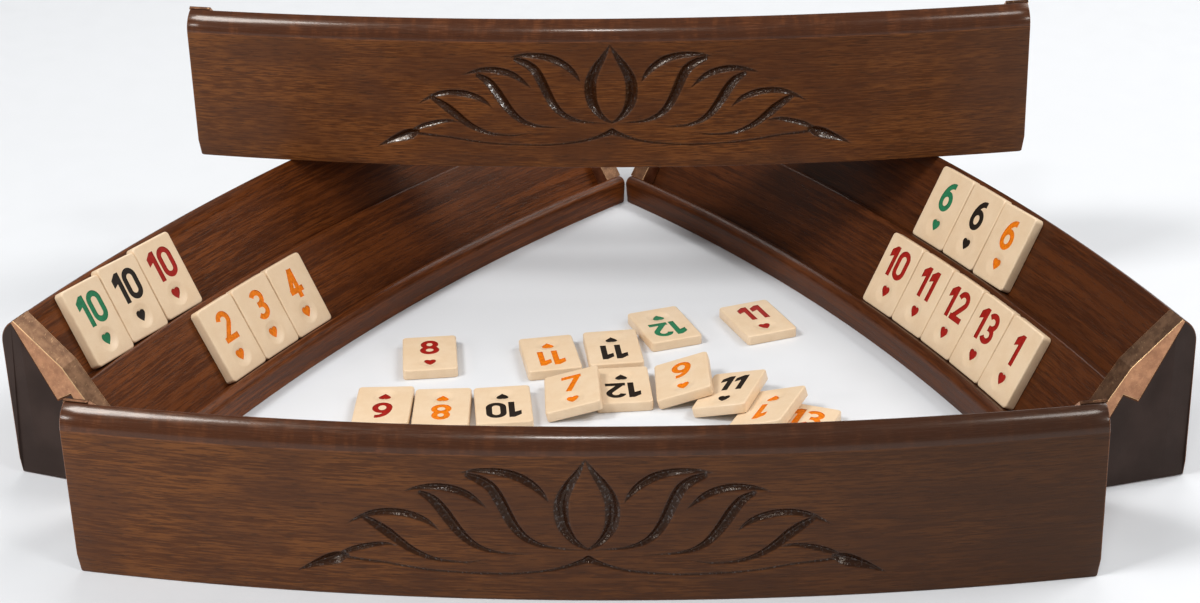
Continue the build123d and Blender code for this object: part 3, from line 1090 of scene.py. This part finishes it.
@dataclass(frozen=True)
class RackGroup:
    """How the four racks stand: three in a ring and one across the side racks; mm and degrees."""

    corner_gap: float = 0.3  # between the lips of two racks in the ring
    stack_gap: float = 0.33  # under the top rack
    facings: tuple[float, ...] = (-90.0, 30.0, 150.0)  # the ways that the backs in the ring face
    forward: float = 14.1  # how far the top rack stands in front of the side racks' middles
    sideways: float = -2.65  # how far to the right of the ring's middle it stands
    turn: float = -0.24  # from the front rack's facing
    # painted shade of each rack's two ends, for the front, right, left and top racks
    painted_shades: tuple[Point2, ...] = ((0.05, 0.8), (0.5, 0.5), (0.05, 0.15), (0.08, 0.22))

    def racks(self) -> list[Rack]:
        """Works out the racks' places, with the footprint's middle at the origin.

        Returns:
            The racks, with the top one last.
        """
        inner_radius = RACK.radius - RACK.lower_step[1].x - RACK.lip
        half_chord = inner_radius * math.sin(RACK.half_turn) + self.corner_gap / 2
        bow = RACK.radius - inner_radius * math.cos(RACK.half_turn)
        ring_radius = bow + half_chord / math.tan(math.pi / 3)
        left = math.radians(self.facings[-1])
        back = RACK.radius * (math.sin(left - RACK.half_turn) - math.sin(left))
        centre = Vector((0, (ring_radius - (ring_radius / 2 + back)) / 2, 0))
        racks = []
        for count, (name, facing) in enumerate(zip(("front", "right", "left"), self.facings)):
            direction = Vector((math.cos(math.radians(facing)), math.sin(math.radians(facing)), 0))
            racks.append(Rack(name, facing, centre + ring_radius * direction, count, self.painted_shades[count]))
        height = RACK.crest_height + self.stack_gap
        top = Vector((self.sideways, racks[-1].middle.y - self.forward, height))
        racks.append(Rack("top", self.facings[0] + self.turn, top, len(racks), self.painted_shades[-1]))
        return racks

    def build(self) -> None:
        """Adds every rack."""
        strips = [(strip, strip.mesh()) for strip in make_strips()]
        for rack in self.racks():
            rack.build(strips)


# ---- tiles ------------------------------------------------------------------------------------


@dataclass(frozen=True)
class Numerals:
    """Bold engraved figures, drawn as strokes of one width; mm."""

    height: float = 15.5
    width: float = 9.6
    stroke: float = 2.9  # its width
    gap: float = 1.1  # between two figures
    bowl: float = 3.9  # half the height of the bowl of 6 and 9, at its stroke's middle
    facets: int = 14  # in half a circle

    @property
    def half(self) -> float:
        """Half a stroke's width, which is also how high the lowest strokes' middle lies."""
        return self.stroke / 2

    @property
    def side(self) -> float:
        """How far the middle of a side stroke lies from the figure's middle."""
        return (self.width - self.stroke) / 2

    @property
    def top(self) -> float:
        """How high the highest strokes' middle lies."""
        return self.height - self.half

    def curve(self, centre: Point2, radii: Point2, start: float, end: float) -> list[Vector]:
        """Points on an arc of an ellipse; angles in degrees.

        Args:
            centre: The ellipse's middle.
            radii: Its two radii, across and up.
            start: Where the arc starts.
            end: Where it ends.

        Returns:
            The points, from start to end.
        """
        count = max(4, round(abs(end - start) / 180 * self.facets))
        points = []
        for step in range(count + 1):
            angle = math.radians(start + (end - start) * step / count)
            across, up = radii[0] * math.cos(angle), radii[1] * math.sin(angle)
            points.append(Vector((centre[0] + across, centre[1] + up)))
        return points

    def ribbon(self, path: Sequence[Vector]) -> list[list[Vector]]:
        """The patches of a stroke of the figures' width along a path.

        Args:
            path: Points along the stroke's middle.

        Returns:
            One patch for each piece of the path.
        """
        closed = (path[0] - path[-1]).length < 1e-6
        edges = []
        for place, point in enumerate(path):
            before = path[place - 1] if place else (path[-2] if closed else point)
            after = path[place + 1] if place < len(path) - 1 else (path[1] if closed else point)
            along = (after - before).normalized()
            across = Vector((-along.y, along.x)) * self.stroke / 2
            edges.append((point + across, point - across))
        return [[a, b, d, c] for (a, b), (c, d) in zip(edges, edges[1:])]

    def bar(self, height: float) -> list[Vector]:
        """A level stroke as wide as the figure."""
        return [Vector((-self.side - self.half, height)), Vector((self.side + self.half, height))]

    def loop(self, upper: bool, share: float, start: float, end: float) -> list[Vector]:
        """Part of one of the two stacked loops of 3 and 8.

        Args:
            upper: True for the loop above the figure's middle.
            share: The loop's width, as a share of the figure's.
            start: Where it starts, in degrees.
            end: Where it ends.

        Returns:
            Points along the stroke's middle.
        """
        middle = self.height / 2
        centre = (middle + self.top) / 2 if upper else (middle - self.half) / 2 + self.half
        return self.curve((0, centre), (self.side * share, (self.top - middle) / 2), start, end)

    def zero(self) -> list[list[Vector]]:
        """Two half circles joined by straight sides.

        Returns:
            The paths of its strokes.
        """
        side, high = self.side, self.top - self.side
        upper = self.curve((0, high), (side, side), 0, 180)
        lower = self.curve((0, self.half + side), (side, side), 180, 360)
        return [upper + lower + [Vector((side, high))]]

    def two(self) -> list[list[Vector]]:
        """A hook that runs down to a bar."""
        hook = self.curve((0, self.top - self.side), (self.side, self.side), 170, -35)
        return [hook + [Vector((-self.side + 0.4, self.half))], self.bar(self.half)]

    def three(self) -> list[list[Vector]]:
        """Two open loops that meet in a short bar."""
        upper = self.loop(True, 1, 150, -90) + [Vector((-1.2, self.height / 2))]
        return [upper, self.loop(False, 1, 90, -150)]

    def four(self) -> list[list[Vector]]:
        """An upright, a slant from its head and a bar.

        Returns:
            The paths of its strokes.
        """
        upright, bar = 1.3, self.height * 0.27
        return [
            [Vector((upright, 0)), Vector((upright, self.height))],
            [Vector((upright - 0.4, self.height - 0.2)), Vector((-self.side - 0.1, bar))],
            self.bar(bar),
        ]

    def six(self) -> list[list[Vector]]:
        """A bowl and a stem that bends over it.

        Returns:
            The paths of its strokes.
        """
        centre = self.half + self.bowl
        stem = self.curve((2.3, centre), (self.side + 2.3, self.top - self.half - self.bowl), 180, 82)
        return [self.curve((0, centre), (self.side, self.bowl), 0, 360), stem]

    def seven(self) -> list[list[Vector]]:
        """A bar and a slant."""
        return [self.bar(self.top), [Vector((self.side - 0.1, self.top)), Vector((-1.6, 0))]]

    def eight(self) -> list[list[Vector]]:
        """Two closed loops, the upper one narrower."""
        return [self.loop(True, 0.88, 0, 360), self.loop(False, 1, 0, 360)]

    def patches(self, figure: str) -> list[list[Vector]]:
        """One figure as flat patches that may overlap.

        Args:
            figure: One character of a number.

        Returns:
            The patches' corners.
        """
        if figure == "1":
            left, right, top = -self.half, self.half, self.height
            flag = [(left + 0.3, top), (left - 3, top - 2.6), (left - 3, top - 6.6), (left, top - 5.2)]
            return [[Vector(point) for point in ((right, 0), (right, top), *flag, (left, 0))]]
        if figure == "9":
            turned = self.patches("6")
            return [[Vector((-point.x, self.height - point.y)) for point in patch] for patch in turned]
        drawn = {
            "0": self.zero,
            "2": self.two,
            "3": self.three,
            "4": self.four,
            "6": self.six,
            "7": self.seven,
            "8": self.eight,
        }
        return [patch for path in drawn[figure]() for patch in self.ribbon(path)]

    def number(self, text: str) -> list[list[Vector]]:
        """A whole number, centred on the origin.

        Args:
            text: The number's figures.

        Returns:
            The patches of all its figures.
        """
        placed, right = [], 0.0
        for figure in text:
            patches = self.patches(figure)
            left = min(point.x for patch in patches for point in patch)
            shift = Vector((right - left, -self.height / 2))
            placed += [[point + shift for point in patch] for patch in patches]
            right = max(point.x for patch in placed for point in patch) + self.gap
        width = right - self.gap
        return [[point - Vector((width / 2, 0)) for point in patch] for patch in placed]


@dataclass(frozen=True)
class Tile:
    """A plastic tile with an engraved number above a heart in a dimple; mm.

    It is made about the middle of its back, with x to the right, y up and z out of its face.
    """

    width: float = 26.8
    height: float = 38.0
    thickness: float = 5.0
    corner: float = 2.0  # the radius of its corners, seen from the front
    edge: float = 0.8  # the radius of the face's edge
    back_edge: float = 0.25
    dimple: float = 6.25  # its radius
    dimple_depth: float = 0.9
    dimple_at: Point2 = (0, -9.5)
    ring_shares: tuple[float, ...] = (1, 0.8, 0.6, 0.4, 0.2)  # of the dimple's radius
    ring_facets: int = 36
    heart: float = 5.8  # its width
    heart_facets: int = 28
    number_height: float = 6.0  # above the tile's middle
    engraved: float = 0.28  # the depth
    edge_steps: int = 4
    numerals: Numerals = Numerals()

    def hollow(self, point: Vector) -> float:
        """How far the dimple lies below the tile's face at a point.

        Args:
            point: A point of the tile's face.

        Returns:
            The depth, which is 0 outside the dimple.
        """
        from_middle = (point - Vector(self.dimple_at)).length
        ball = (self.dimple**2 + self.dimple_depth**2) / (2 * self.dimple_depth)
        return max(0.0, self.dimple_depth - ball + math.sqrt(ball**2 - min(from_middle, ball) ** 2))

    def outline(self) -> list[Vector]:
        """The flat part of the face, inside the rounded edge.

        Returns:
            The outline's points.
        """
        across, up = self.width / 2 - self.edge, self.height / 2 - self.edge
        radius = self.corner - self.edge
        corners = [(across, up, radius), (-across, up, radius), (-across, -up, radius), (across, -up, radius)]
        return [Vector(point) for point in rounded(corners, segments=5)]

    def heart_outline(self) -> list[Vector]:
        """The heart, with a shallow notch and a long point.

        Returns:
            The outline's points.
        """
        half, lift = 16, 3  # of the curve as it is written here
        points = []
        for step in range(self.heart_facets):
            turn = 2 * math.pi * step / self.heart_facets
            across = -half * math.sin(turn) ** 3
            up = half * math.cos(turn) - 4.5 * math.cos(2 * turn) - 2 * math.cos(3 * turn) + lift
            points.append(Vector(self.dimple_at) + Vector((across, up)) * self.heart / (2 * half))
        return points

    def mesh(self, number: str) -> bpy.types.Mesh:
        """The tile with one number on it, its inked faces in the second material slot.

        Args:
            number: The number's figures.

        Returns:
            The tile in mm, in its own frame.
        """
        work = bmesh.new()
        inked = self.fill_face(work, number)
        self.engrave(work, inked)
        self.add_sides(work)
        bmesh.ops.recalc_face_normals(work, faces=work.faces)
        made = bpy.data.meshes.new(f"tile_{number}")
        work.to_mesh(made)
        work.free()
        return made

    def fill_face(self, work: bmesh.types.BMesh, number: str) -> list[bmesh.types.BMFace]:
        """Fills the face round the number, the heart and the dimple, and returns the inked faces.

        Args:
            work: The empty tile.
            number: The number's figures.

        Returns:
            The inked faces.
        """
        shift = Vector((0, self.number_height))
        numbers = [[point + shift for point in patch] for patch in self.numerals.number(number)]
        turns = [2 * math.pi * step / self.ring_facets for step in range(self.ring_facets)]
        circle = [Vector((math.cos(turn), math.sin(turn))) for turn in turns]
        middle = Vector(self.dimple_at)
        rings = [[middle + self.dimple * share * point for point in circle] for share in self.ring_shares]
        shapes = [self.outline(), *rings, self.heart_outline(), *numbers]
        first_ink = 1 + len(rings)
        points, loops = [], []
        for shape in shapes:
            loops.append(list(range(len(points), len(points) + len(shape))))
            points += shape
        flat, _, triangles, _, _, sources = delaunay_2d_cdt(points, [], loops, 1, 1e-5)
        verts = [work.verts.new((*point, self.thickness - self.hollow(point))) for point in flat]
        inked = []
        for triangle, source in zip(triangles, sources):
            face = work.faces.new([verts[corner] for corner in triangle])
            face.smooth = 1 in source
            if any(shape >= first_ink for shape in source):
                inked.append(face)
        return inked

    def engrave(self, work: bmesh.types.BMesh, inked: list[bmesh.types.BMFace]) -> None:
        """Sinks the inked faces and gives them and their walls the paint.

        Args:
            work: The tile's filled face.
            inked: The faces to sink.
        """
        sunk = bmesh.ops.extrude_face_region(work, geom=inked)["geom"]
        bmesh.ops.delete(work, geom=inked, context="FACES")
        floor = {item for item in sunk if isinstance(item, bmesh.types.BMVert)}
        bmesh.ops.translate(work, verts=list(floor), vec=(0, 0, -self.engraved))
        for vert in floor:
            for face in vert.link_faces:
                face.material_index = 1
                face.smooth = False

    def add_sides(self, work: bmesh.types.BMesh) -> None:
        """Runs the face's outline over the rounded edge, down the sides and in to the back.

        Args:
            work: The tile's engraved face.
        """
        rim = [edge for edge in work.edges if edge.is_boundary]
        rings = []
        for step in range(1, self.edge_steps + 1):
            angle = math.pi / 2 * step / self.edge_steps
            rings.append((self.edge * math.sin(angle), self.thickness - self.edge * (1 - math.cos(angle))))
        rings += [(self.edge, self.back_edge), (self.edge - 0.3 * self.back_edge, 0.3 * self.back_edge)]
        rings += [(self.edge - self.back_edge, 0)]
        for out, height in rings:
            grown = bmesh.ops.extrude_edge_only(work, edges=rim)["geom"]
            for vert in (item for item in grown if isinstance(item, bmesh.types.BMVert)):
                vert.co = self.on_rim(vert.co, out, height)
            rim = [item for item in grown if isinstance(item, bmesh.types.BMEdge)]
            for edge in rim:
                for face in edge.link_faces:
                    face.smooth = True
        for face in bmesh.ops.contextual_create(work, geom=rim)["faces"]:
            face.smooth = False

    def on_rim(self, point: Vector, out: float, height: float) -> Vector:
        """The point that lies a distance outside the flat face, straight out from an outline point.

        Args:
            point: A point on the outline, or over it.
            out: How far outside the flat face the new point lies.
            height: How high above the tile's back.

        Returns:
            The new point.
        """
        middle = Vector((
            math.copysign(self.width / 2 - self.corner, point.x),
            math.copysign(self.height / 2 - self.corner, point.y),
        ))
        away = (point.xy - middle).normalized()
        return Vector((*(middle + away * (self.corner - self.edge + out)), height))

    def place_of(self, node: str) -> Matrix:
        """Where a CAD tile is: the middle of its back and the ways it faces, read from its solid.

        Args:
            node: The CAD tile's name.

        Returns:
            The matrix that takes a tile in mm from its own frame to the row frame.
        """
        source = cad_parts[node].data
        largest = {}
        for polygon in source.polygons:
            key = tuple(round(part, 2) for part in polygon.normal)
            largest.setdefault(key, []).append(polygon)
        back = max(largest.values(), key=lambda polygons: sum(polygon.area for polygon in polygons))
        facing = -sum((polygon.area * polygon.normal for polygon in back), Vector()).normalized()
        corners = {corner for polygon in back for corner in polygon.vertices}
        points = np.array([source.vertices[corner].co for corner in corners])
        up = Vector(np.linalg.svd(points - points.mean(0))[2][0])
        middle = self.middle_of(points, up, facing)
        if self.dimple_side([vert.co - middle for vert in source.vertices], up, facing) > 0:
            up = -up
        right = up.cross(facing)
        axes = Matrix((right, up, facing)).transposed().to_4x4()
        return Matrix.Translation(middle) @ axes @ Matrix.Scale(MM, 4)

    def dimple_side(self, places: Sequence[Vector], up: Vector, facing: Vector) -> float:
        """Tells on which side of the tile's middle the dimple lies.

        Args:
            places: The CAD tile's corners, from the middle of its back.
            up: Along the tile.
            facing: Out of its face.

        Returns:
            More than 0 where the dimple lies in the direction of up.
        """
        bottom = (self.thickness - self.dimple_depth - TOUCHING) * MM
        rim = (self.thickness - 0.1) * MM
        half_height, half_width = (self.height / 2 - self.corner) * MM, (self.width / 2 - self.corner) * MM
        inner = [place for place in places if abs(place.dot(up)) < half_height]
        inner = [place for place in inner if abs(place.dot(up.cross(facing))) < half_width]
        return sum(place.dot(up) for place in inner if bottom < place.dot(facing) < rim)

    @staticmethod
    def middle_of(points: np.ndarray, up: Vector, facing: Vector) -> Vector:
        """The middle of a tile's back, from its outline's reach along and across the tile.

        Args:
            points: The corners of the CAD tile's back.
            up: Along the tile.
            facing: Out of its face.

        Returns:
            The middle, in metres.
        """
        across = up.cross(facing)
        middle = Vector(points.mean(0))
        for axis in (up, across):
            reach = (points - np.array(middle)) @ np.array(axis)
            middle = middle + axis * float(reach.min() + reach.max()) / 2
        return middle

    def build(self, node: str, home: bpy.types.Mesh, ink: Ink) -> None:
        """Adds one tile in place of its CAD part.

        Args:
            node: The CAD tile's name.
            home: The tile with this number, in its own frame.
            ink: The colour of its paint.
        """
        mesh = home.copy()
        mesh.transform(self.place_of(node))
        mesh.materials.append(IVORY.material())
        mesh.materials.append(PaintFinish(ink).material())
        add_piece(f"{node}.looks", mesh, node, node)


def add_tiles() -> None:
    """Adds every tile; a CAD tile's name ends in its colour and number, and maybe a word."""
    tile = Tile()
    homes: dict[str, bpy.types.Mesh] = {}
    for node in sorted(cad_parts):
        if not node.startswith("tile_"):
            continue
        words = node.upper().split("_")
        ink = next(ink for ink in Ink if ink.name in words)
        number = words[words.index(ink.name) + 1]
        if number not in homes:
            homes[number] = tile.mesh(number)
        tile.build(node, homes[number], ink)


# ---------------------------------------------------------------------------------------------
# Studio
# ---------------------------------------------------------------------------------------------


@dataclass(frozen=True)
class FloorFinish(Finish):
    """A smooth white table top."""

    name: str = "white table"
    base: Colour = (0.735, 0.745, 0.76, 1.0)

    def build(self, graph: Graph, shader: bpy.types.Node) -> None:
        """A matt white with a faint mottle.

        Args:
            graph: The material's nodes.
            shader: The shader whose sockets are fed.
        """
        mottle = graph.noise(graph.object_place(), detail=3, scale=60)
        looks = {
            "Base Color": graph.mix(mottle, darker(self.base, 0.985), self.base),
            "Roughness": graph.between(mottle, 0.3, 0.7, 0.55, 0.65),
        }
        graph.dress(shader, looks)


@dataclass(frozen=True)
class SoftBox:
    """A soft lamp that points at a spot on the table; metres."""

    name: str
    place: tuple[float, float, float]
    size: tuple[float, float]
    power: float  # watts
    aim: tuple[float, float, float] = (0, 0, 0.03)

    def build(self) -> None:
        """Adds the lamp."""
        data = bpy.data.lights.new(self.name, "AREA")
        data.shape = "RECTANGLE"
        data.size, data.size_y = self.size
        data.energy = self.power
        lamp = bpy.data.objects.new(self.name, data)
        lamp.location = self.place
        lamp.rotation_euler = (Vector(self.aim) - Vector(self.place)).to_track_quat("-Z", "Y").to_euler()
        bpy.context.scene.collection.objects.link(lamp)


@dataclass(frozen=True)
class Studio:
    """The camera at the photograph's angle, soft lamps and a white table; metres."""

    camera_at: tuple[float, float, float] = (0.064494, -1.030076, 0.497135)
    yaw: float = -3.791  # degrees, to the right of straight ahead
    pitch: float = -24.564
    roll: float = -1.673
    lens: float = 68.76  # mm
    sensor: float = 36.0  # mm
    table: float = 12.0  # the length of each side
    sky: Colour = (0.97, 0.985, 1.0, 1.0)
    daylight: float = 0.33  # the sky light's strength
    lamps: tuple[SoftBox, ...] = (
        SoftBox("left softbox", (-1.25, -0.75, 1.75), (0.7, 0.55), 28),
        SoftBox("right softbox", (1.3, 0.4, 1.5), (0.8, 0.7), 17),
        SoftBox("small right softbox", (1.0, -0.95, 1.65), (0.4, 0.3), 5),
        SoftBox("small front softbox", (-0.15, -1.55, 1.6), (0.18, 0.13), 5),
        SoftBox("low left softbox", (-1.5, -1.2, 0.75), (0.24, 0.18), 3.5),
        SoftBox("low right softbox", (1.5, -1.2, 0.75), (0.24, 0.18), 3.5),
        SoftBox("back softbox", (0.1, 1.7, 1.6), (1.6, 0.8), 12),
    )

    def build(self) -> None:
        """Adds the camera, the lamps, the sky light and the table."""
        self.add_camera()
        for lamp in self.lamps:
            lamp.build()
        self.add_sky()
        self.add_table()

    def add_sky(self) -> None:
        """Adds the sky light and shows colours as they are written."""
        world = bpy.data.worlds.new("sky light")
        world.use_nodes = True
        looks = {"Color": self.sky, "Strength": self.daylight}
        Graph(world.node_tree).dress(world.node_tree.nodes["Background"], looks)
        bpy.context.scene.world = world
        bpy.context.scene.view_settings.view_transform = "Standard"

    def add_table(self) -> None:
        """Adds the white table top."""
        work = bmesh.new()
        bmesh.ops.create_grid(work, x_segments=1, y_segments=1, size=self.table / 2)
        mesh = bpy.data.meshes.new("table_top")
        work.to_mesh(mesh)
        work.free()
        mesh.materials.append(FloorFinish().material())
        table = bpy.data.objects.new("table_top", mesh)
        bpy.context.scene.collection.objects.link(table)

    def add_camera(self) -> None:
        """Adds the camera and makes it the scene's own."""
        yaw, pitch, roll = (math.radians(angle) for angle in (self.yaw, self.pitch, self.roll))
        ahead = Vector((math.sin(yaw) * math.cos(pitch), math.cos(yaw) * math.cos(pitch), math.sin(pitch)))
        level = Vector((math.cos(yaw), -math.sin(yaw), 0))
        upright = level.cross(ahead)
        right = math.cos(roll) * level + math.sin(roll) * upright
        up = math.cos(roll) * upright - math.sin(roll) * level
        data = bpy.data.cameras.new("camera")
        data.lens = self.lens
        data.sensor_width = self.sensor
        data.sensor_fit = "HORIZONTAL"
        camera = bpy.data.objects.new("camera", data)
        turn = Matrix((right, up, -ahead)).transposed().to_4x4()
        camera.matrix_world = Matrix.Translation(self.camera_at) @ turn
        bpy.context.scene.collection.objects.link(camera)
        bpy.context.scene.camera = camera


def main() -> None:
    """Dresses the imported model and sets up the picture."""
    logging.basicConfig(level=logging.INFO, format="%(message)s")
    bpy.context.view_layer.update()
    Studio().build()
    RackGroup().build()
    add_tiles()


if __name__ == "__main__":
    main()
